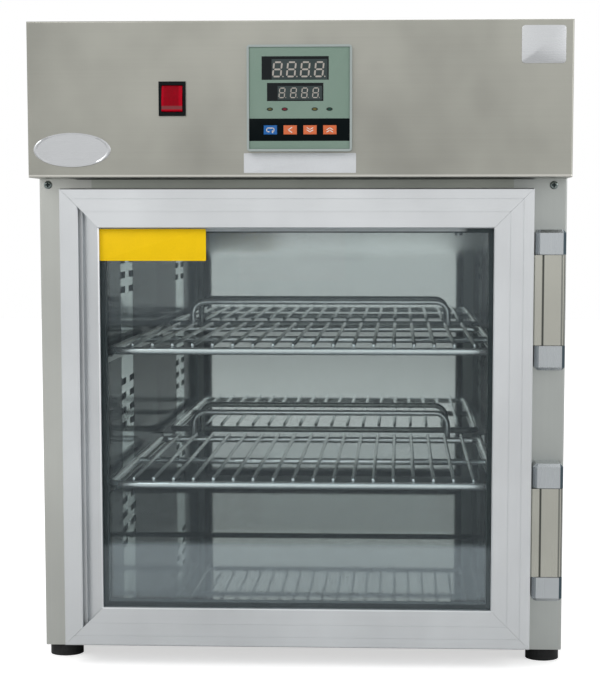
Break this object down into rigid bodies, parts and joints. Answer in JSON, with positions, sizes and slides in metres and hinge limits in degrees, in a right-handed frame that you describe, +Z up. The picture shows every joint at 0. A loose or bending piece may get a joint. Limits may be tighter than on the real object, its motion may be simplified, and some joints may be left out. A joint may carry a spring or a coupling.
{
  "type": "blanket warmer",
  "caption": "Countertop warming cabinet with overhanging control header, right-hinged double-glazed door and wire shelves.",
  "frame": {"origin": "middle of the overall footprint, on the surface that the feet stand on", "axes": "+Z up, the door and the controls face -Y, +X to the viewer's right where the hinges are"},
  "size_m": [0.5, 0.535, 0.605],
  "materials": {
    "stainless": "brushed, lines across the front",
    "galvanised": "dull zinc coat",
    "liner_steel": "bright rolled sheet",
    "mineral_wool": "matte fibre",
    "fan_sheet": "plain sheet",
    "dark_steel": "heat tinted",
    "motor_paint": "satin black",
    "black_plastic": "fine texture",
    "grey_plastic": "fine texture",
    "smoked_window": "smoked, polished",
    "key_plastic": "soft touch",
    "red_rocker": "clear red, polished",
    "probe_steel": "polished",
    "door_aluminium": "satin anodised",
    "zinc": "die cast",
    "clear_glass": "polished",
    "grey_pvc": "smooth",
    "gasket_rubber": "soft, matte",
    "hinge_cap": "satin chrome plate",
    "hinge_cover": "polished",
    "pin_steel": "ground",
    "shelf_wire": "bright plated wire",
    "runner_steel": "plain folded sheet",
    "foot_rubber": "black, matte"
  },
  "bodies": {
    "cabinet": {"left_side_panel": "stainless", "right_side_panel": "stainless", "top_panel": "stainless", "base_pan": "stainless", "rear_panel": "stainless", "header_fascia": "stainless", "top_front_rail": "stainless", "bottom_front_rail": "stainless", "equipment_tray": "galvanised", "inner_liner": "liner_steel", "left_duct_panel": "liner_steel", "right_duct_panel": "liner_steel", "ceiling_panel": "liner_steel", "fan_guard": "liner_steel", "insulation_slabs": "mineral_wool", "heating_element": "dark_steel", "fan_motor": "motor_paint", "controller_case": "black_plastic", "rocker_bezel": "black_plastic", "mains_inlet": "black_plastic", "heater_relay": "black_plastic", "controller_bezel": "grey_plastic", "terminal_block": "grey_plastic", "controller_window": "smoked_window", "temperature_probe": "probe_steel", "upper_hinge_top_block": "hinge_cap", "upper_hinge_bottom_block": "hinge_cap", "lower_hinge_top_block": "hinge_cap", "lower_hinge_bottom_block": "hinge_cap", "hinge_pins": "pin_steel", "upper_shelf_runners": "runner_steel", "lower_shelf_runners": "runner_steel", "front_left_foot": "foot_rubber", "front_right_foot": "foot_rubber", "rear_left_foot": "foot_rubber", "rear_right_foot": "foot_rubber"},
    "door": {"door_top_rail": "door_aluminium", "door_bottom_rail": "door_aluminium", "door_handle_stile": "door_aluminium", "door_hinge_stile": "door_aluminium", "door_corner_keys": "zinc", "outer_glass": "clear_glass", "inner_glass": "clear_glass", "glass_spacer": "door_aluminium", "glazing_bead": "grey_pvc", "door_gasket": "gasket_rubber", "upper_hinge_barrel": "hinge_cover", "lower_hinge_barrel": "hinge_cover"},
    "upper_shelf": {"upper_shelf": "shelf_wire", "upper_shelf_lip": "shelf_wire"},
    "lower_shelf": {"lower_shelf": "shelf_wire", "lower_shelf_lip": "shelf_wire"},
    "fan": {"fan_wheel": "fan_sheet", "fan_shaft": "dark_steel"},
    "rocker": {"power_rocker": "red_rocker"},
    "set_key": {"set_key": "key_plastic"},
    "shift_key": {"shift_key": "key_plastic"},
    "down_key": {"down_key": "key_plastic"},
    "up_key": {"up_key": "key_plastic"}
  },
  "joints": [
    {"name": "door_hinge", "type": "hinge", "parent": "cabinet", "child": "door", "pos_m": [0.2325, -0.2295, 0.24], "axis": [0, 0, 1], "range_deg": [0, 110]},
    {"name": "upper_shelf_slide", "type": "slide", "parent": "cabinet", "child": "upper_shelf", "axis": [0, -1, 0], "range_m": [-0.04, 0.02]},
    {"name": "lower_shelf_slide", "type": "slide", "parent": "cabinet", "child": "lower_shelf", "axis": [0, -1, 0], "range_m": [-0.04, 0.02]},
    {"name": "fan_spin", "type": "hinge", "parent": "cabinet", "child": "fan", "pos_m": [0, 0.0115, 0.44], "axis": [0, 0, 1], "continuous": true},
    {"name": "rocker_press", "type": "hinge", "parent": "cabinet", "child": "rocker", "pos_m": [-0.1159, -0.261, 0.5345], "axis": [1, 0, 0], "range_deg": [0, 16]},
    {"name": "set_key_press", "type": "slide", "parent": "cabinet", "child": "set_key", "axis": [0, 1, 0], "range_m": [0, 0.0008], "stiffness_N_per_m": 800},
    {"name": "shift_key_press", "type": "slide", "parent": "cabinet", "child": "shift_key", "axis": [0, 1, 0], "range_m": [0, 0.0008], "stiffness_N_per_m": 800},
    {"name": "down_key_press", "type": "slide", "parent": "cabinet", "child": "down_key", "axis": [0, 1, 0], "range_m": [0, 0.0008], "stiffness_N_per_m": 800},
    {"name": "up_key_press", "type": "slide", "parent": "cabinet", "child": "up_key", "axis": [0, 1, 0], "range_m": [0, 0.0008], "stiffness_N_per_m": 800}
  ]
}
